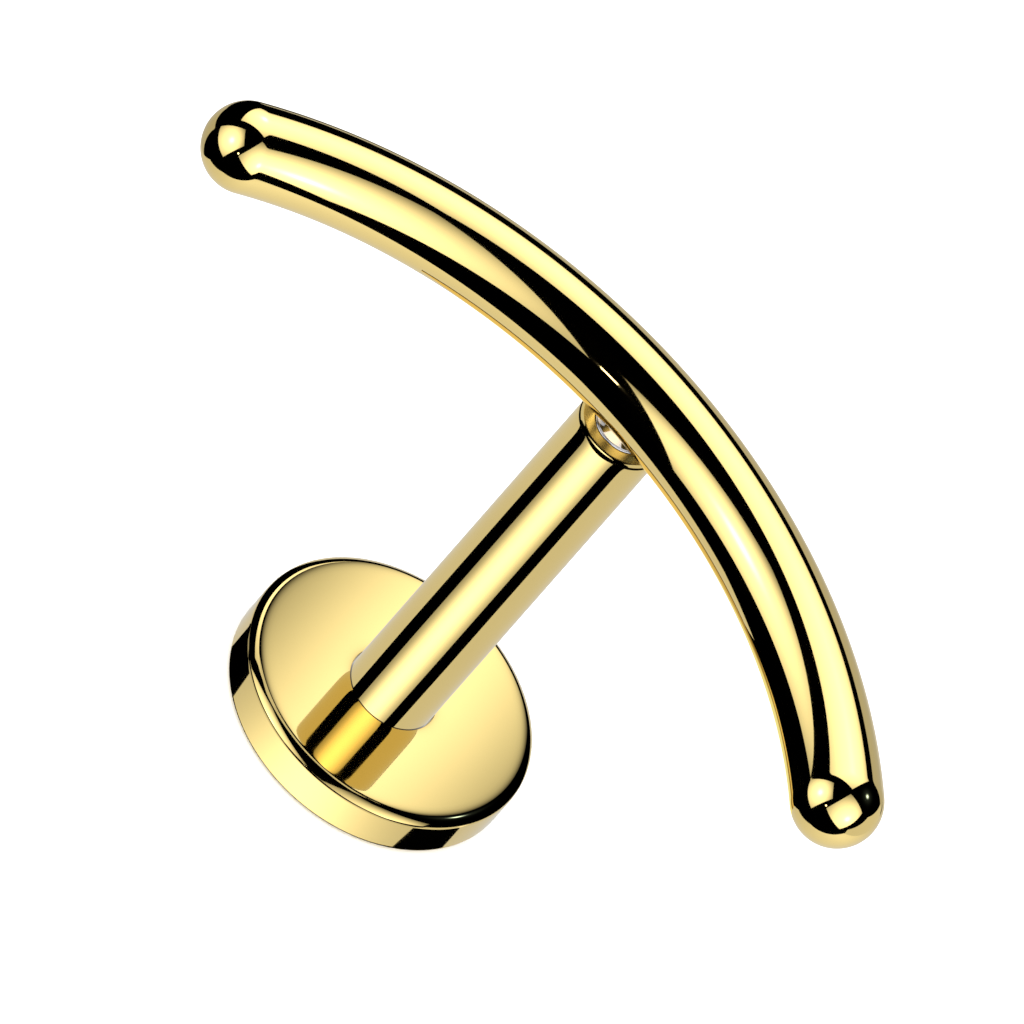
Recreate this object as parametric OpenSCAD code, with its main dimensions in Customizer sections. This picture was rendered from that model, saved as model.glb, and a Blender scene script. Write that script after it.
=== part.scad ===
// Curved flat-back labret stud: a disc back with a hollow post standing on it, and a curved bar
// on top, held by a threaded pin that screws down into the post.
// +Z runs up the post from the centre of the disc's underside. The bar's ends lie along X and
// its bow bulges towards +Y. Everything is in millimetres at real size.

/* [Disc back] */
// Diameter of the flat disc that lies against the skin
disc_d = 4.04; // [3:0.01:6]
// Thickness of the disc
disc_t = 0.65; // [0.55:0.01:1.2]
// Radius of the rounded edge round the face that the post stands on
disc_face_edge_r = 0.12; // [0.05:0.01:0.2]
// Radius of the rounded edge round the outer face
disc_outer_edge_r = 0.08; // [0.03:0.01:0.2]
// Depth of the socket in the disc that holds the foot of the post
socket_depth = 0.35; // [0.2:0.01:0.4]
// Gap all round between the foot of the post and its socket
seam_gap = 0.015; // [0.01:0.005:0.03]

/* [Post] */
// Outer diameter of the post
post_d = 1.2; // [1.2:0.01:1.6]
// Length of the post from the disc's face to its open end
post_l = 6.05; // [5:0.01:10]
// Radius of the rounded edge round the open end
post_edge_r = 0.05; // [0.03:0.01:0.1]
// Diameter of the blind bore in the open end
bore_d = 0.82; // [0.82:0.01:0.9]
// Depth of the blind bore
bore_depth = 1.6; // [1.3:0.01:3]

/* [Threaded pin] */
// Diameter over the crests of the thread
thread_d = 0.79; // [0.75:0.01:0.79]
// Height of one ridge of the thread
thread_pitch = 0.175; // [0.15:0.005:0.2]
// Number of ridges
thread_ridges = 4; // [3:1:5]
// Depth of the thread
thread_h = 0.07; // [0.04:0.005:0.08]
// Length of the smooth neck between the thread and the collar
neck_l = 0.19; // [0.15:0.01:0.3]
// Diameter of the smooth neck
neck_d = 0.74; // [0.6:0.01:0.76]
// Diameter of the collar that fills the mouth of the post
collar_d = 0.8; // [0.76:0.01:0.8]
// Height of the collar
collar_h = 0.05; // [0.03:0.01:0.1]
// Diameter of the shank that rises out of the collar into the bar
shank_d = 0.78; // [0.7:0.01:0.78]
// Height and depth of the slope under the shank
shank_slope = 0.03; // [0.01:0.005:0.04]
// How far the shank reaches above the post
shank_l = 0.8; // [0.5:0.01:0.9]
// Height of the rounded tip
tip_h = 0.2; // [0.1:0.01:0.3]

/* [Curved bar] */
// Diameter of the round bar
bar_d = 1.18; // [1.1:0.01:1.6]
// Radius of the bow, measured to the middle of the bar
bow_r = 7.75; // [6:0.05:12]

/* [Fits] */
// Gap between pieces that meet
fit_gap = 0.01; // [0.005:0.005:0.02]

/* [Hidden] */
$fn = 96;

disc_r = disc_d / 2;
post_r = post_d / 2;
bar_r = bar_d / 2;
foot_z = disc_t - socket_depth + fit_gap;
post_end_z = disc_t + post_l;
bar_z = post_end_z + fit_gap + bar_r;
collar_z = post_end_z - collar_h;
neck_z = collar_z - neck_l;
thread_l = thread_ridges * thread_pitch;
root_r = thread_d / 2 - thread_h;
sunk = 0.2; // how far a cutting shape runs past the face that it opens

gold = "gold";
steel = "silver";

// Half of a round bar's cross-section: w out from the axis and h high, with its outer corners
// rounded by low_r at the bottom and high_r at the top.
module edged_profile(w, h, low_r, high_r) {
  translate([0, low_r]) square([w, h - low_r - high_r]);
  square([w - low_r, h]);
  translate([0, h - high_r]) square([w - high_r, high_r]);
  quarter_round([w - low_r, low_r], low_r, -1);
  quarter_round([w - high_r, h - high_r], high_r, 1);
}

// A quarter of a disc of radius r round the point at, outwards and up (side 1) or down (side -1).
module quarter_round(at, r, side) {
  translate(at) intersection() {
    circle(r);
    translate([0, side > 0 ? 0 : -r]) square(r);
  }
}

// The outline of the ridges from z upwards, one point at each root and each crest.
function ridge_points(z) = [
  for (i = [0:2 * thread_ridges])
    [i % 2 == 0 ? root_r : thread_d / 2, z + i * thread_pitch / 2]
];

module back_disc() color(gold) {
  difference() {
    rotate_extrude() edged_profile(disc_r, disc_t, disc_outer_edge_r, disc_face_edge_r);
    translate([0, 0, disc_t - socket_depth]) cylinder(h = socket_depth + sunk, r = post_r + seam_gap);
  }
}

module post() color(gold) {
  difference() {
    translate([0, 0, foot_z]) rotate_extrude()
      edged_profile(post_r, post_end_z - foot_z, post_edge_r, post_edge_r);
    translate([0, 0, post_end_z - bore_depth]) cylinder(h = bore_depth + sunk, d = bore_d);
  }
}

// The pin is one turned piece: tip, thread, neck, collar and shank share one outline. The top of
// the collar lies level with the end of the post.
module threaded_pin() color(steel) {
  thread_z = neck_z - thread_l;
  rotate_extrude() polygon(concat(
    [[0, thread_z - tip_h], [root_r / 2, thread_z - tip_h], [root_r, thread_z - tip_h / 2]],
    ridge_points(thread_z),
    [
      [neck_d / 2, neck_z],
      [neck_d / 2, collar_z],
      [collar_d / 2, collar_z],
      [collar_d / 2, post_end_z],
      [shank_d / 2 - shank_slope, post_end_z],
      [shank_d / 2, post_end_z + shank_slope],
      [shank_d / 2, post_end_z + shank_l],
      [0, post_end_z + shank_l]
    ]
  ));
}

// Half a ball on its flat face, pointing up.
module dome(r) {
  rotate_extrude() intersection() {
    circle(r);
    square(r);
  }
}

// The bow is a quarter of a ring whose centre lies on the -Y side of the post, and half a ball
// rounds each end.
module curved_bar() color(gold) {
  difference() {
    translate([0, -bow_r, bar_z]) rotate([0, 0, 45]) {
      rotate_extrude(angle = 90) translate([bow_r, 0]) circle(bar_r);
      translate([bow_r, 0, 0]) rotate([90, 0, 0]) dome(bar_r);
      translate([0, bow_r, 0]) rotate([0, -90, 0]) dome(bar_r);
    }
    translate([0, 0, post_end_z - sunk])
      cylinder(h = shank_l + fit_gap + sunk, d = shank_d + 2 * fit_gap);
  }
}

back_disc();
post();
threaded_pin();
curved_bar();
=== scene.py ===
# %% [markdown]
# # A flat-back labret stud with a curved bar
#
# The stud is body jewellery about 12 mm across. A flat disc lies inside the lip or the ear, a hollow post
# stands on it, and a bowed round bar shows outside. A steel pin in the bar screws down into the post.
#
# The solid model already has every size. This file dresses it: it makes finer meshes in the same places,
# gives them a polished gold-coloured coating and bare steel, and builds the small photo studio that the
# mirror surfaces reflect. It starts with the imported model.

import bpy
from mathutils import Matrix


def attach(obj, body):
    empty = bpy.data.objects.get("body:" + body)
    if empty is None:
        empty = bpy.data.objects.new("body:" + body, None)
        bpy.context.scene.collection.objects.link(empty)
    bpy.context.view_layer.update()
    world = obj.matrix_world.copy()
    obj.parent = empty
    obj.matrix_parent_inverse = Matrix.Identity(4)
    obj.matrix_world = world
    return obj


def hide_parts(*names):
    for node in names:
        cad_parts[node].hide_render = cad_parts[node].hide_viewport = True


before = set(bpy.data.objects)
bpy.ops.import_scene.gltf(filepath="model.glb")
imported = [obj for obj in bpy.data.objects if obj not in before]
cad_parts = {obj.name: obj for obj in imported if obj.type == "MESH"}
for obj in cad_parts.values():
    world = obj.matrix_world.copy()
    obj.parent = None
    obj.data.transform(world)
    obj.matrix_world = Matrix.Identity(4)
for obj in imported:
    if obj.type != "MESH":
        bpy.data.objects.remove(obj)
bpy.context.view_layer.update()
print("nodes:", ", ".join(sorted(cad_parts)))

# %% [markdown]
# ## Sizes
#
# Blender works in metres here, and a jeweller thinks in millimetres. The sizes are the solid model's own,
# written once in millimetres. MM turns them into metres where a mesh is finished, so that no number has to be
# written with a long row of zeros.

# %% Sizes in millimetres
from math import atan2, cos, exp, hypot, pi, radians, sin

import bmesh
import bpy
import numpy as np
from mathutils import Euler, Matrix, Vector

MM = 0.001
DISC = {"radius": 2.02, "thickness": 0.65, "face_edge": 0.12, "outer_edge": 0.08}
SOCKET = {"radius": 0.615, "floor": 0.30}
POST = {"radius": 0.6, "foot": 0.31, "end": 6.70, "edge": 0.05}
BORE = {"radius": 0.41, "floor": 5.10}
PIN = {"tip": 5.56, "thread": 5.76, "neck": 6.46, "collar": 6.65, "top": 7.50,
       "root": 0.325, "crest": 0.395, "neck_radius": 0.37, "collar_radius": 0.40, "shank_radius": 0.39}
BAR = {"radius": 0.59, "bow": 7.75, "height": 7.30, "hole_radius": 0.40, "hole_top": 7.51}
PITCH = 0.175
AROUND = 192
scene = bpy.context.scene
for piece_name, sizes in (("disc", DISC), ("post", POST), ("bar", BAR)):
    print(piece_name, "diameter", 2 * sizes["radius"], "mm")

# %% [markdown]
# ## The camera
#
# The photo's outlines show almost no perspective, so it was taken, or drawn, from far away. A long lens at
# half a metre gives the same view. The direction is given as an azimuth and an elevation, and the camera is
# then rolled about its own line of sight until the post leans across the picture as in the photo. The two
# small slides put the stud in the frame where the photo has it, and no lens shift is needed.

# %% Camera
VIEW = {"azimuth": 9.600, "elevation": 43.908, "roll": 41.282}
PIXELS_PER_MM, SLIDE_X, SLIDE_Y = 80.200, -0.12703, -0.67084
LENS_PIXELS, PICTURE_PIXELS, SENSOR_WIDTH, AIM_HEIGHT = 40000, 1024, 36, 3.5


def towards(azimuth, elevation):
    """The unit vector towards a place in the studio: azimuth 0 is the front (-Y) and 90 the right (+X)."""
    a, e = radians(azimuth), radians(elevation)
    return Vector((sin(a) * cos(e), -cos(a) * cos(e), sin(e)))


back = towards(VIEW["azimuth"], VIEW["elevation"])
level = Vector((cos(radians(VIEW["azimuth"])), sin(radians(VIEW["azimuth"])), 0))
upright = back.cross(level)
roll = radians(VIEW["roll"])
right = cos(roll) * level + sin(roll) * upright
up = cos(roll) * upright - sin(roll) * level

camera = bpy.data.objects.new("camera", bpy.data.cameras.new("camera"))
scene.collection.objects.link(camera)
scene.camera = camera
camera.data.sensor_width = SENSOR_WIDTH
camera.data.lens = SENSOR_WIDTH * LENS_PIXELS / PICTURE_PIXELS
camera.data.clip_start, camera.data.clip_end = 0.01, 10
eye = Vector((0, 0, AIM_HEIGHT)) + back * (LENS_PIXELS / PIXELS_PER_MM)
eye = eye - right * SLIDE_X - up * SLIDE_Y
camera.matrix_world = Matrix.Translation(eye * MM) @ Matrix((right, up, back)).transposed().to_4x4()
print("camera at", [round(value, 1) for value in eye], "mm, lens", round(camera.data.lens), "mm")

# %% [markdown]
# ## Node trees from Python sums
#
# Shaders and Geometry Nodes both work on sockets. Placing every Math node by hand hides the sum that it
# stands for, so a small class wraps one output socket and turns Python's own signs into Math nodes. Every
# other node comes from one method, which takes the node's type, then its settings, then what its inputs hold
# or are linked to.

# %% Sockets that take part in sums
class Output:
    """One output of a node. A sum on it adds Math nodes to the same tree."""

    def __init__(self, nodes, socket):
        self.nodes, self.socket = nodes, socket

    def sum(self, operation, *terms):
        return self.nodes.add("ShaderNodeMath", {"operation": operation}, dict(enumerate(terms)))

    def also(self, name):
        """Another output of the same node."""
        return Output(self.nodes, self.socket.node.outputs[name])

    def held(self):
        """The value kept between 0 and 1."""
        return self.nodes.add("ShaderNodeMath", {"operation": "ADD", "use_clamp": True}, {0: self, 1: 0.0})

    def __add__(self, other):
        return self.sum("ADD", self, other)

    def __radd__(self, other):
        return self.sum("ADD", other, self)

    def __sub__(self, other):
        return self.sum("SUBTRACT", self, other)

    def __rsub__(self, other):
        return self.sum("SUBTRACT", other, self)

    def __mul__(self, other):
        return self.sum("MULTIPLY", self, other)

    def __rmul__(self, other):
        return self.sum("MULTIPLY", other, self)

    def __truediv__(self, other):
        return self.sum("DIVIDE", self, other)

    def __pow__(self, other):
        return self.sum("POWER", self, other)

    def __rpow__(self, other):
        return self.sum("POWER", other, self)

    def __abs__(self):
        return self.sum("ABSOLUTE", self)


class Nodes:
    """A node tree, and the one method that adds a node to it."""

    def __init__(self, tree):
        self.tree = tree

    def add(self, kind, settings=None, inputs=None, output=0):
        node = self.tree.nodes.new(kind)
        for name, value in (settings or {}).items():
            setattr(node, name, value)
        for name, value in (inputs or {}).items():
            if isinstance(value, Output):
                self.tree.links.new(value.socket, node.inputs[name])
            else:
                node.inputs[name].default_value = value
        return Output(self, node.outputs[output]) if node.outputs else node


def cleared(owner):
    """The emptied node tree of a material, a light or the sky."""
    owner.use_nodes = True
    owner.node_tree.nodes.clear()
    return Nodes(owner.node_tree)


print("node helper ready")

# %% [markdown]
# ## The gold-coloured coating
#
# The disc, the post and the bar are surgical steel under a thin hard coating of a pale gold colour, polished
# to a mirror. A mirror has almost no colour of its own: a metal tints what it reflects, so the base colour is
# the reflectance and the roughness stays low. What makes it look real is small: the coating's tone drifts a
# little over the part, buffing leaves faint lines, and handling leaves a slight haze. All of it comes from
# noise on Object coordinates, so it holds still when a piece turns.

# %% Gold finish
BUFFING_SCALE = (3000.0, 3000.0, 60000.0)
BLEND = 0.004 * MM
# The end face's tone is a painted reflection: the deep amber of the bar's gold underside mirrored in it.
SEAM_TONE, PAINTED_END_REFLECTION, CUT_DULLNESS = (0.05, 0.035, 0.015, 1), (0.85, 0.54, 0.11, 1), 0.22


def noise(nodes, place, scale, detail, roughness):
    """Soft noise at a place, from 0 to 1."""
    return nodes.add("ShaderNodeTexNoise", {}, {
        "Vector": place, "Scale": scale, "Detail": detail, "Roughness": roughness})


def mixed(nodes, factor, first, second):
    """The colour that goes from the first to the second as the factor goes from 0 to 1."""
    return nodes.add("ShaderNodeMix", {"data_type": "RGBA"}, {"Factor": factor, 6: first, 7: second}, 2)


def metal(name, tone, shade, gloss, haze, buffing, ends=None):
    """A polished metal: tone drifts towards shade, roughness runs from gloss up by haze, with faint buffing
    lines. The ends are two heights in mm. Below the first it is dark, a fine dark line where a foot meets
    its socket. Above the second it is duller, and its colour is a painted reflection: a deep amber that stands
    for the bar's gold underside mirrored in the end face."""
    material = bpy.data.materials.new(name)
    nodes = cleared(material)
    place = nodes.add("ShaderNodeTexCoord", output="Object")
    drift = noise(nodes, place, 240.0, 2.0, 0.5)
    cloud = noise(nodes, place, 1400.0, 4.0, 0.6)
    stretched = nodes.add("ShaderNodeMapping", {}, {"Vector": place, "Scale": BUFFING_SCALE})
    lines = noise(nodes, stretched, 1.0, 2.0, 0.5)
    colour = mixed(nodes, ((drift - 0.35) * 3.0).held(), (*tone, 1), (*shade, 1))
    roughness = gloss + haze * ((cloud - 0.4) * 2.5).held() + haze * 0.5 * ((lines - 0.5) * 3.0).held()
    if ends:
        seam, cut = ends
        height = nodes.add("ShaderNodeSeparateXYZ", {}, {0: place}, "Z")
        below, above = ((seam * MM - height) / BLEND).held(), ((height - cut * MM) / BLEND).held()
        # Above the cut the colour turns to a painted reflection of the bar's gold underside; below the seam it
        # turns dark.
        colour = mixed(nodes, above, mixed(nodes, below, colour, SEAM_TONE), PAINTED_END_REFLECTION)
        roughness = roughness + above * CUT_DULLNESS
    bump = nodes.add("ShaderNodeBump", {}, {
        "Height": lines * 0.5 + cloud, "Strength": buffing, "Distance": 0.002 * MM})
    surface = nodes.add("ShaderNodeBsdfPrincipled", {}, {
        "Base Color": colour, "Metallic": 1.0, "Roughness": roughness, "Normal": bump})
    nodes.add("ShaderNodeOutputMaterial", {}, {"Surface": surface})
    return material


GOLD = ((0.93, 0.725, 0.285), (0.90, 0.695, 0.27), 0.035, 0.03, 0.002)
gold = metal("gold", *GOLD)
# The post's end face carries a painted amber reflection of the bar's underside.
post_gold = metal("gold of the post", *GOLD, ends=(DISC["thickness"] + 0.002, POST["end"] - 0.007))
print("made", gold.name, "and", post_gold.name)

# %% [markdown]
# ## Bare steel
#
# The pin is not coated, because the coating would fill its thread. It is a cool grey and clearly hazier than
# the gold, because a thread can't be buffed as a smooth rod can.

# %% Steel finish
steel = metal("steel", (0.80, 0.795, 0.80), (0.74, 0.735, 0.745), 0.16, 0.06, 0.04)
print("made", steel.name)

# %% [markdown]
# ## Turned pieces
#
# The disc, the post and the pin are turned on a lathe, and a lathe's work is a profile spun round an axis.
# Blender's Screw modifier could spin it, but a few lines of mesh code keep the poles closed and let the
# profile come in runs with a break between them, where a screw thread is set in later. A profile is a list of
# (radius, height) points, and `corner` adds the points of a rounded edge.

# %% Lathe
def corner(centre_radius, centre_height, size, start, stop, steps=12):
    """The points of a rounded edge, from angle start to stop in degrees, measured from straight outwards."""
    angles = [radians(start + (stop - start) * step / steps) for step in range(steps + 1)]
    return [(centre_radius + size * cos(a), centre_height + size * sin(a)) for a in angles]


def turn(mesh, run):
    """Spins one run of profile points round the Z axis into the bmesh, with a single vertex at a pole."""
    rings = []
    for radius, height in run:
        count = 1 if radius < 1e-6 else AROUND
        turns = [2 * pi * i / count for i in range(count)]
        rings.append([mesh.verts.new((radius * cos(a) * MM, radius * sin(a) * MM, height * MM)) for a in turns])
    for low, high in zip(rings, rings[1:]):
        for i in range(AROUND):
            j = (i + 1) % AROUND
            ring = [low[i % len(low)], low[j % len(low)], high[j % len(high)], high[i % len(high)]]
            mesh.faces.new(list(dict.fromkeys(ring)))


def finished(name, mesh, material, weld=0.0):
    """The bmesh as an object: welded, facing outwards, smooth between its sharp edges, flat faces kept flat."""
    if weld:
        bmesh.ops.remove_doubles(mesh, verts=mesh.verts, dist=weld * MM)
    bmesh.ops.recalc_face_normals(mesh, faces=mesh.faces)
    for face in mesh.faces:
        face.smooth = True
    data = bpy.data.meshes.new(name)
    mesh.to_mesh(data)
    mesh.free()
    data.set_sharp_from_angle(angle=radians(35))
    piece = bpy.data.objects.new(name, data)
    scene.collection.objects.link(piece)
    piece.modifiers.new("flat faces stay flat", "WEIGHTED_NORMAL").keep_sharp = True
    data = bpy.data.meshes.new_from_object(piece.evaluated_get(bpy.context.evaluated_depsgraph_get()))
    piece.modifiers.clear()
    piece.data = data
    data.materials.clear()
    data.materials.append(material)
    uses = np.bincount([data.loops[i].edge_index for face in data.polygons for i in face.loop_indices])
    print(name, "has", len(data.polygons), "faces and", int((uses != 2).sum()), "open edges")
    return piece


def set_normals(piece, rule):
    """Writes the corner normals. The rule gives one for a face and a point, or None to keep the mesh's own."""
    data = piece.data
    normals = [own.vector.copy() for own in data.corner_normals]
    for face in data.polygons:
        for loop in face.loop_indices:
            normal = rule(face, data.vertices[data.loops[loop].vertex_index].co)
            if normal is not None:
                normals[loop] = normal
    data.normals_split_custom_set(normals)


def tilted(point, slope):
    """A direction away from the Z axis at the point, tilted up by the slope in degrees."""
    outwards = Vector((point.x, point.y, 0)).normalized()
    return outwards * cos(radians(slope)) + Vector((0, 0, sin(radians(slope))))


def dress(piece, body, node):
    """The piece stands for one solid, whose own mesh is hidden, and moves with its body."""
    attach(piece, body)
    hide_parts(node)


print("lathe ready, with", AROUND, "steps round")

# %% [markdown]
# ## Disc back
#
# The disc is the part that lies against the skin, so its edges are rounded over. The polisher's wheel has
# done that: below the rim comes a broad soft round, then a faint ridge, then a tighter round into the side.
# Those few hundredths of a millimetre are what draws the bright and dark lines round the disc, so the profile
# follows the wheel: it is stepped along from one slope to the next, each with its own radius of curvature,
# and then scaled to the edge's exact size. A shallow socket holds the post's foot, and the fine dark ring
# round the post is the gap.

# %% Disc profile
r, t, soft, tight = DISC["radius"], DISC["thickness"], DISC["face_edge"], DISC["outer_edge"]
break_edge, rim = 0.006, r - soft
RIM_LEAN, RIM_REACH, FOOT_LEAN, FOOT_REACH = 21.0, 0.035, 5.25, 0.05
ROUNDS = ((RIM_LEAN, 36.0, 0.150), (36.0, 52.0, 0.308), (52.0, 74.0, 0.0215),
          (74.0, 82.0, 0.157), (82.0, 90.0, 0.185))


def wheeled(outwards, downwards, rounds, steps=6):
    """A worn edge as rows (out, down, slope). Each round is (slope from, slope to, radius of curvature)."""
    x = z = 0.0
    rows = [(x, z, rounds[0][0])]
    for start, stop, radius in rounds:
        for step in range(steps):
            slope = radians(start + (stop - start) * (step + 0.5) / steps)
            length = radius * radians(stop - start) / steps
            x, z = x + length * cos(slope), z + length * sin(slope)
            rows.append((x, z, start + (stop - start) * (step + 1) / steps))
    return [(outwards * px / x, downwards * pz / z, slope) for px, pz, slope in rows]


edge_rows = wheeled(soft, soft, ROUNDS)
socket_edge = SOCKET["radius"] + break_edge
nearness = (0.0, 0.01, 0.02, 0.035, 0.05, 0.07, 0.10, 0.15, 0.22)
mesh = bmesh.new()
turn(mesh, [(0, 0), (r * 0.5, 0), (r - tight - 0.02, 0)]
     + corner(r - tight, tight, tight, -90, 0)
     + [(rim + out, t - down) for out, down, slope in edge_rows[::-1]]
     + [(rim - near, t) for near in nearness[1:]] + [(1.2, t)]
     + [(socket_edge + near, t) for near in nearness[:0:-1]]
     + corner(socket_edge, t - break_edge, break_edge, 90, 180, 4)
     + [(SOCKET["radius"], SOCKET["floor"]), (SOCKET["radius"] * 0.5, SOCKET["floor"]), (0, SOCKET["floor"])])
disc = finished("disc", mesh, gold)

# %% [markdown]
# A felt wheel can't keep a flat face flat up to its rim. Over the last few hundredths of a millimetre the
# face leans over towards the rim, and round the post it rises a little, by far less than a hair's height. A
# mirror shows that lean as a bent line all the same. So the surface stays on the solid, and the lean is
# written into the corner normals of the top, which also take the exact slope of each ring of the worn edge.

# %% Disc
def leaning(face, point):
    """The direction in which the polished top faces at a point on it, or None below it and in the socket."""
    if face.center.z <= (t - soft) * MM or face.center.xy.length <= socket_edge * MM:
        return None
    radius, drop = hypot(point.x, point.y) / MM, t - point.z / MM
    if radius + drop > rim:
        places, slopes = zip(*((rim + out + down, slope) for out, down, slope in edge_rows))
        return tilted(point, 90 - np.interp(radius + drop, places, slopes))
    slope = RIM_LEAN * exp((radius - rim) / RIM_REACH) + FOOT_LEAN * exp((socket_edge - radius) / FOOT_REACH)
    return tilted(point, 90 - slope)


set_normals(disc, leaning)
dress(disc, "stud", "back_disc")
disc.visible_glossy = False
print("the face leans by", round(RIM_LEAN * exp(-1), 1), "degrees", RIM_REACH, "mm from the rim")

# %% [markdown]
# ## A screw thread by rule
#
# A thread's surface follows one rule: go once round, and the ridge has risen by one pitch. So it is made with
# Geometry Nodes: a flat grid is rolled into a tube, and each point's distance from the axis comes from how
# far its height lies from the nearest ridge. The same tree cuts the pin's outer thread and the groove in the
# post's bore, because a groove is only a ridge that points outwards from the bore's wall.

# %% Thread tree
def generator(name, sizes, counts):
    """A Geometry Nodes tree with these inputs: its helper, its inputs, a unit grid and the grid's two
    coordinates."""
    tree = bpy.data.node_groups.new(name, "GeometryNodeTree")
    tree.interface.new_socket("Geometry", in_out="OUTPUT", socket_type="NodeSocketGeometry")
    for names, kind in ((sizes, "Float"), (counts, "Int"), (("Material",), "Material")):
        for socket in names:
            tree.interface.new_socket(socket, in_out="INPUT", socket_type="NodeSocket" + kind)
    nodes = Nodes(tree)
    size = nodes.add("NodeGroupInput").also
    grid = nodes.add("GeometryNodeMeshGrid", {}, {
        "Size X": 1.0, "Size Y": 1.0, "Vertices X": size(counts[0]) + 1, "Vertices Y": size(counts[1]) + 1})
    spot = nodes.add("ShaderNodeSeparateXYZ", {}, {0: nodes.add("GeometryNodeInputPosition")})
    return nodes, size, grid, spot + 0.5, spot.also("Y") + 0.5


def wrapped(nodes, grid, x, y, z, weld):
    """The grid with its points moved to x, y and z, and its seam welded."""
    point = nodes.add("ShaderNodeCombineXYZ", {}, {"X": x, "Y": y, "Z": z})
    moved = nodes.add("GeometryNodeSetPosition", {}, {"Geometry": grid, "Position": point})
    return nodes.add("GeometryNodeMergeByDistance", {}, {"Geometry": moved, "Distance": weld})


def handed_out(nodes, size, geometry):
    """Gives the geometry its material and makes it the tree's output."""
    real = nodes.add("GeometryNodeRealizeInstances", {}, {"Geometry": geometry})
    dressed = nodes.add("GeometryNodeSetMaterial", {}, {"Geometry": real, "Material": size("Material")})
    nodes.add("NodeGroupOutput", {}, {0: dressed})
    return nodes.tree


def thread_tree(steepness=1.7, root_share=0.35, start_rate=14):
    """Rolls a grid into a threaded tube. Its inputs are named sizes in metres. The ridge has flat roots and
    rounded flanks, and it rises from the wall at both ends of the thread."""
    nodes, size, grid, circled, rise = generator(
        "screw thread", ("Wall Radius", "Ridge Radius", "Pitch", "Bottom", "Length"),
        ("Steps Round", "Steps Up"))
    height = size("Bottom") + rise * size("Length")
    turns = height / size("Pitch") - circled + 10
    phase = turns.sum("FRACT", turns)
    flank = ((1 - abs(phase * 2 - 1)) * steepness - root_share).held()
    ridge = flank * flank * (3 - 2 * flank)
    fade = (rise * (1 - rise) * start_rate).held()
    radius = size("Wall Radius") + (size("Ridge Radius") - size("Wall Radius")) * ridge * fade
    turned = circled * (2 * pi)
    return handed_out(nodes, size, wrapped(
        nodes, grid, radius * turned.sum("COSINE", turned), radius * turned.sum("SINE", turned), height, 1e-8))


def grown(name, tree, sizes):
    """The plain mesh that a Geometry Nodes tree makes from these named inputs."""
    seed = bpy.data.objects.new(name, bpy.data.meshes.new(name))
    scene.collection.objects.link(seed)
    modifier = seed.modifiers.new(name, "NODES")
    modifier.node_group = tree
    for socket in tree.interface.items_tree:
        if socket.in_out == "INPUT":
            modifier[socket.identifier] = sizes[socket.name]
    mesh = bpy.data.meshes.new_from_object(seed.evaluated_get(bpy.context.evaluated_depsgraph_get()))
    seed.modifiers.remove(modifier)
    bpy.data.objects.remove(seed)
    print(name, "grew", len(mesh.vertices), "points")
    return mesh


screw = thread_tree()
print("thread tree has", len(screw.nodes), "nodes")

# %% [markdown]
# ## Post
#
# The post is a plain rod with a blind bore in its open end. Its foot goes down into the disc's socket, its
# end has a small rounded edge, and the bore carries the thread that the pin screws into. The lathe turns it
# in two runs, one down to the thread and one from the thread to the floor of the bore. The polisher's wheel
# has dipped over its end as it did over the disc's rim: close to the end the side leans in, and the rounded
# edge starts from that lean. It draws the dark ring round the end, and it is written into the corner normals
# too.

# %% Post
r, edge, mouth, end = POST["radius"], POST["edge"], 0.012, POST["end"]
thread_top, thread_bottom = 6.60, 5.55
END_LEAN, END_REACH = 12, 0.046
mesh = bmesh.new()
turn(mesh, [(0, POST["foot"]), (r - edge - 0.01, POST["foot"])]
     + corner(r - edge, POST["foot"] + edge, edge, -90, 0)
     + [(r, 2.0), (r, 4.0)]
     + [(r, end - edge - below) for below in (0.25, 0.17, 0.12, 0.09, 0.06, 0.04, 0.02)]
     + corner(r - edge, end - edge, edge, 0, 90)
     + [(BORE["radius"] + mouth + 0.01, end)]
     + corner(BORE["radius"] + mouth, end - mouth, mouth, 90, 180, 5)
     + [(BORE["radius"], thread_top)])
turn(mesh, [(BORE["radius"], thread_bottom), (BORE["radius"], BORE["floor"]), (0, BORE["floor"])])
mesh.from_mesh(grown("thread in the post", screw, {
    "Wall Radius": BORE["radius"] * MM, "Ridge Radius": (BORE["radius"] + 0.06) * MM, "Pitch": PITCH * MM,
    "Bottom": thread_bottom * MM, "Length": (thread_top - thread_bottom) * MM, "Steps Round": AROUND,
    "Steps Up": 96, "Material": post_gold}))
post = finished("post", mesh, post_gold, weld=0.0005)


def dipped(face, point):
    """The direction in which the post's side and rounded edge face near its end, or None elsewhere."""
    if face.center.z <= (end - 0.30) * MM or face.center.xy.length <= (r - edge) * MM:
        return None
    side, above = hypot(point.x, point.y) / MM - r + edge, point.z / MM - end + edge
    if above < 1e-4:
        return tilted(point, END_LEAN * exp(above / END_REACH))
    return tilted(point, END_LEAN + (90 - END_LEAN) * atan2(above, side) / (pi / 2))


set_normals(post, dipped)
dress(post, "stud", "post")

# %% [markdown]
# ## Threaded pin
#
# The pin is one turned steel piece: a rounded tip, the thread, a smooth neck, a thin collar that closes the
# mouth of the bore, and a shank that runs up into the bar. Between the post and the bar only the collar's
# slope and the shank are seen, as a bright ring with a pale window in it.

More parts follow.
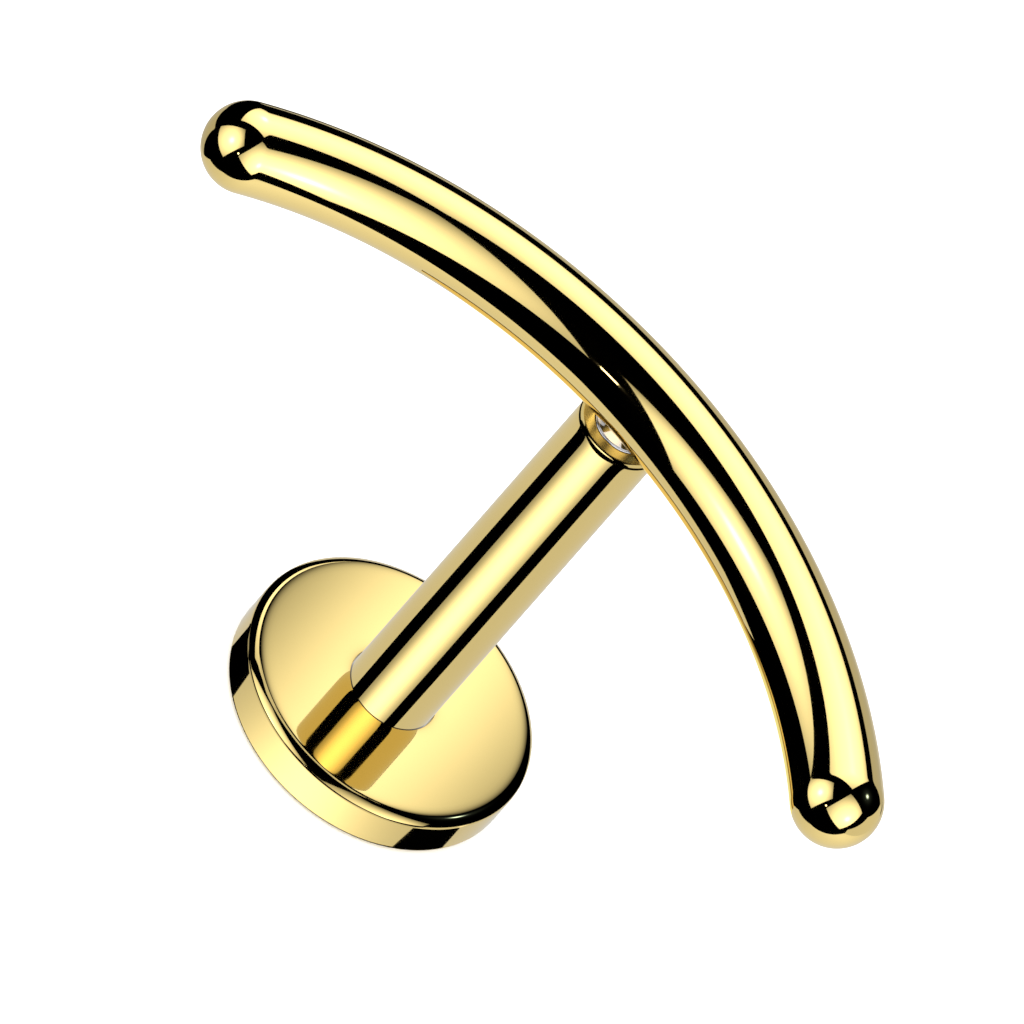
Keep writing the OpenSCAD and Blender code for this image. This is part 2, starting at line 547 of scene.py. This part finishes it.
# %% Pin
mesh = bmesh.new()
root, neck, collar, shank = PIN["root"], PIN["neck_radius"], PIN["collar_radius"], PIN["shank_radius"]
bevel = 0.004
turn(mesh, [(0, PIN["tip"]), (root * 0.3, PIN["tip"] + 0.002)]
     + [(root * sin(radians(a)), PIN["tip"] + 0.1 * (1 - cos(radians(a)))) for a in range(30, 91, 10)]
     + [(root, PIN["thread"])])
turn(mesh, [(root, PIN["neck"]), (neck, PIN["neck"] + 0.03), (neck, PIN["collar"]),
            (collar - bevel, PIN["collar"]), (collar, PIN["collar"] + bevel),
            (collar, end - bevel), (collar - bevel, end),
            (shank - 0.03, end), (shank - 0.022, end + bevel),
            (shank, end + 0.03), (shank, PIN["top"]), (0, PIN["top"])])
mesh.from_mesh(grown("thread on the pin", screw, {
    "Wall Radius": root * MM, "Ridge Radius": PIN["crest"] * MM, "Pitch": PITCH * MM,
    "Bottom": PIN["thread"] * MM, "Length": (PIN["neck"] - PIN["thread"]) * MM,
    "Steps Round": AROUND, "Steps Up": 80, "Material": steel}))
pin = finished("pin", mesh, steel, weld=0.0005)
dress(pin, "pin", "threaded_pin")

# %% [markdown]
# ## Curved bar
#
# The bar is a round rod bent to a quarter circle, with a ball rounding each end. Its whole surface follows
# one rule, so Geometry Nodes make it: a grid is wrapped round the bow, and near each end the rings shrink as
# the rings of a ball do. Sweeping a circle along a curve would also work, but the ends would need balls of
# their own and a seam to hide. The hole for the pin's shank is then drilled up into it with a boolean.

# %% Bar tree
def bar_tree():
    """Wraps a grid round a bow with ball ends and drills the hole for the shank. Sizes in metres, Bend in
    radians."""
    nodes, size, grid, along, circled = generator(
        "bowed bar", ("Bar Radius", "Bow Radius", "Bend", "Height", "Ball Share", "Hole Radius", "Hole Top"),
        ("Steps Along", "Steps Round"))
    turned = circled * (2 * pi)
    share, radius, bow = size("Ball Share"), size("Bar Radius"), size("Bow Radius")
    first = (1 - (along / share).held()) * (pi / 2)
    last = ((along - 1 + share) / share).held() * (pi / 2)
    bend = (((along - share) / (1 - 2 * share)).held() - 0.5) * size("Bend")
    ring = radius * first.sum("COSINE", first) * last.sum("COSINE", last)
    slide = radius * (last.sum("SINE", last) - first.sum("SINE", first))
    reach = bow + ring * turned.sum("COSINE", turned)
    sine, cosine = bend.sum("SINE", bend), bend.sum("COSINE", bend)
    rod = wrapped(nodes, grid, reach * sine + slide * cosine, reach * cosine - slide * sine - bow,
                  size("Height") + ring * turned.sum("SINE", turned), 1e-7)
    depth = size("Hole Top") - size("Height") + radius * 2
    drill = nodes.add("GeometryNodeMeshCylinder", {}, {
        "Vertices": 96, "Radius": size("Hole Radius"), "Depth": depth})
    middle = nodes.add("ShaderNodeCombineXYZ", {}, {"Z": size("Hole Top") - depth / 2})
    placed = nodes.add("GeometryNodeTransform", {}, {"Geometry": drill, "Translation": middle})
    return handed_out(nodes, size, nodes.add(
        "GeometryNodeMeshBoolean", {"operation": "DIFFERENCE", "solver": "EXACT"},
        {"Mesh 1": rod, "Mesh 2": placed}))


bowed = bar_tree()
print("bar tree has", len(bowed.nodes), "nodes")

# %% [markdown]
# The drill leaves long thin faces round the hole, and a mirror shows every one of them as a dent. The bar's
# true surface is known, though: at each point it faces straight away from the middle line of the rod. So the
# corner normals of the outer faces are set from that rule, and the hole's wall keeps its own.

# %% Bar
def from_middle_line(point):
    """The direction in which the bar's surface faces at a point on it."""
    angle = max(-pi / 4, min(pi / 4, atan2(point.x, point.y + BAR["bow"] * MM)))
    middle = Vector((BAR["bow"] * sin(angle), BAR["bow"] * (cos(angle) - 1), BAR["height"])) * MM
    return (point - middle).normalized()


def rod_normal(face, point):
    """The rod's own direction on its outer faces, and the face's own in the hole."""
    outer = face.normal.dot(from_middle_line(face.center)) > 0.9
    return from_middle_line(point) if outer else face.normal.copy()


mesh = bmesh.new()
mesh.from_mesh(grown("bar", bowed, {
    "Bar Radius": BAR["radius"] * MM, "Bow Radius": BAR["bow"] * MM, "Bend": pi / 2,
    "Height": BAR["height"] * MM, "Ball Share": 0.12, "Hole Radius": BAR["hole_radius"] * MM,
    "Hole Top": BAR["hole_top"] * MM, "Steps Along": 320, "Steps Round": 128, "Material": gold}))
bar = finished("bar", mesh, gold, weld=0.00005)
set_normals(bar, rod_normal)
dress(bar, "bar", "curved_bar")
bar.visible_glossy = False

# %% [markdown]
# ## Floor and daylight
#
# The stud stands on a plain pale floor. The photo's ground is pure white and throws almost no shadow, so the
# floor is nearly white under an even white sky. A mirror would show that floor and sky all over the gold, and
# the photo's metal shows dark gaps instead, so both are hidden from reflections, as a product photographer
# masks them. The view transform is set to Standard, because the softer one would turn the clean white into
# grey.

# %% Floor and sky
mesh = bmesh.new()
bmesh.ops.create_grid(mesh, x_segments=1, y_segments=1, size=2.0)
floor_mesh = bpy.data.meshes.new("floor")
mesh.to_mesh(floor_mesh)
mesh.free()
floor = bpy.data.objects.new("floor", floor_mesh)
floor.location.z = -0.01 * MM
scene.collection.objects.link(floor)
paper = bpy.data.materials.new("pale paper")
nodes = cleared(paper)
grain = noise(nodes, nodes.add("ShaderNodeTexCoord", output="Object"), 900.0, 3.0, 0.5)
sheet = nodes.add("ShaderNodeBsdfDiffuse", {}, {
    "Color": mixed(nodes, grain, (0.93, 0.93, 0.925, 1), (0.95, 0.95, 0.945, 1))})
nodes.add("ShaderNodeOutputMaterial", {}, {"Surface": sheet})
floor_mesh.materials.append(paper)
floor.visible_glossy = floor.visible_shadow = False

sky = bpy.data.worlds.new("white sky")
scene.world = sky
nodes = cleared(sky)
white = nodes.add("ShaderNodeBackground", {}, {"Color": (1, 1, 1, 1), "Strength": 2.0})
nodes.add("ShaderNodeOutputWorld", {}, {"Surface": white})
sky.cycles_visibility.glossy = False
scene.view_settings.view_transform = "Standard"
print("floor at", round(floor.location.z * 1000, 3), "mm")

# %% [markdown]
# ## Studio light
#
# A mirror looks like its studio. The bar's ball ends are little convex mirrors that show the whole room, and
# in them the photo has three large rectangles of light: one to the left, one to the right and one above and
# behind. Below them lie the pale sides of a table. Each is an area light here, brighter round its lamp,
# because a real softbox has its lamp behind the cloth. The disc and the post were lit on their own, with
# upright cards beside them, so each light says which pieces it reaches. Blender calls that light linking.

# %% Light maker
LIGHT_WATTS = pi
FADE_BASE = 2.718


def lights_only(light, pieces):
    """Light linking: this light is seen by these pieces and by nothing else."""
    lit = bpy.data.collections.new(light.name + " reaches")
    for piece in pieces:
        lit.objects.link(piece)
    light.light_linking.receiver_collection = lit


def studio_light(name, centre, angles, size, level, glow=0.0, spread=(1, 1), spot=(0, 0), lamp=0.0,
                 core=10.6, tint=(1, 1, 1), flags=(), reaches=()):
    """A rectangle of light. Sizes in mm, angles in degrees. Its brightness is level, plus glow that fades over
    the spread round the spot, plus the lamp itself, which fades over its core. A flag (lean, rise, reach) is a
    straight black edge: it blocks the light where lean * x + rise * y is more than reach."""
    data = bpy.data.lights.new(name, "AREA")
    data.shape = "RECTANGLE"
    data.size, data.size_y = size[0] * MM, size[1] * MM
    data.energy = LIGHT_WATTS * data.size * data.size_y
    data.color = tint
    light = bpy.data.objects.new(name, data)
    rotation = Euler([radians(a) for a in angles]).to_matrix()
    light.matrix_world = Matrix.Translation(Vector(centre) * MM) @ rotation.to_4x4()
    scene.collection.objects.link(light)
    light.visible_camera = False
    nodes = cleared(data)
    place = nodes.add("ShaderNodeNewGeometry", output="Position")
    middle = (Vector(centre) + rotation @ Vector((*spot, 0))) * MM
    offset = nodes.add("ShaderNodeVectorMath", {"operation": "SUBTRACT"}, {0: place, 1: middle})
    across = [nodes.add("ShaderNodeVectorMath", {"operation": "DOT_PRODUCT"}, {
        0: offset, 1: rotation.col[axis] / MM}, "Value") for axis in range(2)]
    wide = (across[0] / spread[0]) ** 2 + (across[1] / spread[1]) ** 2
    narrow = (across[0] / core) ** 2 + (across[1] / core) ** 2
    strength = level + glow * FADE_BASE ** (0 - wide) + lamp * FADE_BASE ** (0 - narrow)
    for lean, rise, reach in flags:
        edge = across[0] * lean + across[1] * rise
        strength = strength * edge.sum("LESS_THAN", edge, reach - lean * spot[0] - rise * spot[1])
    nodes.add("ShaderNodeOutputLight", {}, {0: nodes.add("ShaderNodeEmission", {}, {"Strength": strength})})
    lights_only(light, reaches)


def card(name, azimuth, distance, bottom, top, start, stop, level, **more):
    """An upright card at that distance, facing the post. It runs from start to stop, to the left and right of
    the line towards its azimuth."""
    side = towards(azimuth, 0)
    middle = Vector((-side.y, side.x, 0)) * (start + stop) / 2 + Vector((0, 0, (bottom + top) / 2))
    studio_light(name, side * distance + middle, (90, 0, azimuth), (stop - start, top - bottom), level, **more)


print("light maker ready")

# %% [markdown]
# The three softboxes are placed where the ball ends of the bar show them. Each lies in its own plane, so its
# sides lean in perspective, and a camera far away sees them bent over the mirror of the rod. Two small lamps
# give the glints: one on each ball, and one in the dark middle of the bar.

# %% Softboxes
top_pieces, mirrors = (bar, pin), (bar, pin, disc)
glint_centre = Vector((0, 0, BAR["height"]))
studio_light("left softbox", (-55.0, -69.7, 54.9), (89.5, 15.0, -46.9), (102.8, 134.4), 0,
             glow=1.9, spread=(71, 71), spot=(6, -12), lamp=2.2, reaches=top_pieces)
studio_light("right softbox", (74.6, -49.2, 52.9), (54.8, 28.6, 15.8), (125.3, 136.4), 0,
             glow=2.1, spread=(84, 84), spot=(21, -13), lamp=2.2, reaches=top_pieces)
studio_light("rear softbox", (-30.9, 63.3, 78.9), (22.4, -12.8, -93.3), (128.3, 115.4), 0,
             glow=2.0, spread=(88, 88), spot=(5, -2), lamp=2.2, reaches=top_pieces)
studio_light("first glint", towards(127.5, 41) * 100 + glint_centre, (49, 0, 127.5), (90, 90), 0,
             glow=0.05, spread=(18, 18), lamp=5.0, core=4.8, tint=(0.45, 0.65, 1.0), reaches=mirrors)
studio_light("second glint", towards(-1, 17.5) * 100 + glint_centre, (72.5, 0, -1), (6.6, 6.5), 4,
             reaches=mirrors)

# %% [markdown]
# Under the bar the room is pale: a table top that starts in front, and low walls to the right and behind.

# %% Table under the bar
studio_light("table", (169, 153, -100), (180, 0, 0), (462, 492), 0.62, glow=0.42, spread=(170, 170),
             spot=(1, 213), flags=((0.927, -0.375, -14.0), (0, -1, 147), (-0.574, 0.82, 297.9)),
             reaches=top_pieces)
studio_light("table left", (-195, 75, -100), (180, 0, 0), (266, 210), 0.5,
             flags=((0.169, 0.986, 88), (-0.922, -0.388, 83.1)), reaches=top_pieces)
card("right wall", 112, 200, -100, 35, -174, 156, 0.72, flags=((-0.428, 0.904, 60.2), (0.314, 0.949, 64.7)),
     reaches=top_pieces)
card("rear wall", 180, 300, -100, 85, -173, 130, 0.5, flags=((-0.775, 0.632, 103.8), (0.768, 0.64, 70)),
     reaches=top_pieces)

# %% [markdown]
# The post is a plain cylinder, so it draws each upright card as a straight band: a bright one in the middle,
# a dark gap on each side, and pale bands towards its outline. The same cards above show in its mirror image
# on the disc. The disc's face is flat and shows just one small card above and behind it, brightest over the
# post. Three tiny cards lie at the mouth of the bore for the pin's shank, which shows as a pale window with
# dark corners.

# %% Cards round the post and the disc
facing = VIEW["azimuth"]
card("front low card", facing, 100, -400, -62, -118, 75, 0.38, glow=1.63, spread=(56, 900), spot=(12, 0),
     reaches=(post,))
card("front high card", facing, 100, 80, 230, -107.6, 65.2, 0.38, glow=1.63, spread=(55, 900), spot=(11.7, 0),
     reaches=(post,))
card("left card", -120, 100, -700, 170, -119, 106, 0.68, reaches=(post,))
card("right card", 120, 100, -700, 170, -100, 275, 0.68, reaches=(post,))
studio_light("left softbox on the disc", (-167.7, -218.5, 129.1), (87.0, 18.5, -43.4), (332.6, 386.1), 0,
             glow=1.8, spread=(200, 200), spot=(3, -8), lamp=2.2, core=30, reaches=(disc,))
studio_light("right softbox on the disc", (232.5, -138.4, 142.8), (74.0, 28.9, 24.5), (358.9, 426.1), 0,
             glow=1.8, spread=(200, 200), spot=(50, -56), lamp=2.2, core=30, reaches=(disc,))
studio_light("front card on the disc", towards(3.6, 0) * 288 - Vector((0, 0, 300)), (180, 0, 3.6),
             (1020, 555), 0.55, glow=1.32, spread=(250, 270), spot=(11, -24), reaches=(disc,))
studio_light("rear card on the disc", towards(182.6, 0) * 190 - Vector((0, 0, 100)), (180, 0, 2.6),
             (340, 250), 0.66, reaches=(disc,))
studio_light("rear softbox, near side", (-219.8, 174.3, 159.8), (28.2, -13.2, -91.2), (393, 115), 0.7,
             glow=0.9, spread=(150, 400), spot=(-30, 0), reaches=(disc,))
studio_light("rear softbox, right side", (-45.0, 16.7, 293.9), (28.2, -13.2, -91.2), (118, 290), 0.66,
             reaches=(disc,))
card("right low card on the disc", 104.6, 100, -80, -25, -30, 30, 0.75, reaches=(disc,))
card("left low card on the disc", -94.4, 100, -70, -25, -12, 12, 0.35, reaches=(disc,))
face_middle, bore_mouth = Vector((0, 0, DISC["thickness"])), Vector((0, 0, POST["end"] + 0.003))
studio_light("face card", face_middle + towards(-170.4, 43.9) * 5, (46, 0, -170.4), (6.4, 6.4), 0,
             glow=1.6, spread=(1.85, 9), spot=(-0.06, 0), reaches=(disc,))
for azimuth, wide, brightness in ((facing - 75, 0.62, 0.5), (facing, 0.34, 0.75), (facing + 75, 0.62, 0.5)):
    studio_light("card at the shank", bore_mouth + towards(azimuth, 0) * 0.6, (180, 0, azimuth), (wide, 0.46),
                 brightness, reaches=(pin,))

# %% [markdown]
# The photo's bar shows the disc's gold as a thin amber line along its lower edge, with a dark border, and the
# post's foot doesn't show the disc at all. So the disc and the bar are not mirrored in the other pieces, and
# a narrow glowing ribbon that lights only the bar stands for the disc. It follows the bow under the rod: pale
# at the rear, amber in front, and brown towards the right end. There a second amber line follows, and then a
# black flag that hides the table. It is part of the studio, like the lights.

# %% Amber ribbon under the bar
bright, amber = Vector((0.95, 0.93, 0.5, 1)), Vector((0.87, 0.66, 0.26, 1))
brown, dark, black = Vector((0.30, 0.19, 0.05, 1)), Vector((0.04, 0.02, 0, 1)), Vector((0, 0, 0, 1))
RIBBON = {"height": 6.62, "start": -24, "turn": 70 / 90, "steps": 89}


def ramp(value, start, length):
    """Rises from 0 to 1 over that length after the start."""
    return min(1, max(0, (value - start) / length))


def stripes(bend, rear):
    """The ribbon's section at that bend: how far inside the bow each point lies, and its colour."""
    browned, flagged = ramp(bend, 10, 22), ramp(bend, 23, 8)
    front = 0.565 + 0.15 * max(0, bend / 45) ** 1.5
    second = front + 0.004 + 0.07 * flagged
    body, border, line = amber.lerp(brown, browned), dark.lerp(brown, browned), dark.lerp(amber, flagged)
    return ((rear, bright), (max(rear, 0.26 + 0.31 * browned), bright.lerp(amber, 0.6 - 0.6 * browned)),
            (max(rear, 0.36 + 0.27 * browned), body), (front - 0.035, body), (front - 0.03, border),
            (front, border), (front + 0.004, line), (second, line), (second + 0.006, black),
            (front + 0.012 + 0.9 * flagged, black))


mesh = bmesh.new()
paint = mesh.verts.layers.float_color.new("paint")
rows = []
for step in range(RIBBON["steps"]):
    bend = RIBBON["start"] + RIBBON["turn"] * step
    rows.append([])
    for away, tone in stripes(bend, 0.5 - 0.45 * ramp(step, 0, 13)):
        out, angle = BAR["bow"] - away, radians(bend)
        place = Vector((out * sin(angle), out * cos(angle) - BAR["bow"], RIBBON["height"]))
        rows[-1].append(mesh.verts.new(place * MM))
        rows[-1][-1][paint] = tone
for low, high in zip(rows, rows[1:]):
    for index in range(len(low) - 1):
        mesh.faces.new((low[index], low[index + 1], high[index + 1], high[index]))
ribbon = bpy.data.objects.new("amber ribbon", bpy.data.meshes.new("amber ribbon"))
mesh.to_mesh(ribbon.data)
mesh.free()
glow = bpy.data.materials.new("amber glow")
nodes = cleared(glow)
surface = nodes.add("ShaderNodeBsdfPrincipled", {}, {
    "Base Color": (0, 0, 0, 1), "Roughness": 1.0, "Emission Strength": 1.0,
    "Emission Color": nodes.add("ShaderNodeAttribute", {"attribute_name": "paint"})})
nodes.add("ShaderNodeOutputMaterial", {}, {"Surface": surface})
ribbon.data.materials.append(glow)
scene.collection.objects.link(ribbon)
ribbon.visible_camera = ribbon.visible_shadow = ribbon.visible_diffuse = False
lights_only(ribbon, (bar,))
print("ribbon has", len(ribbon.data.polygons), "faces")
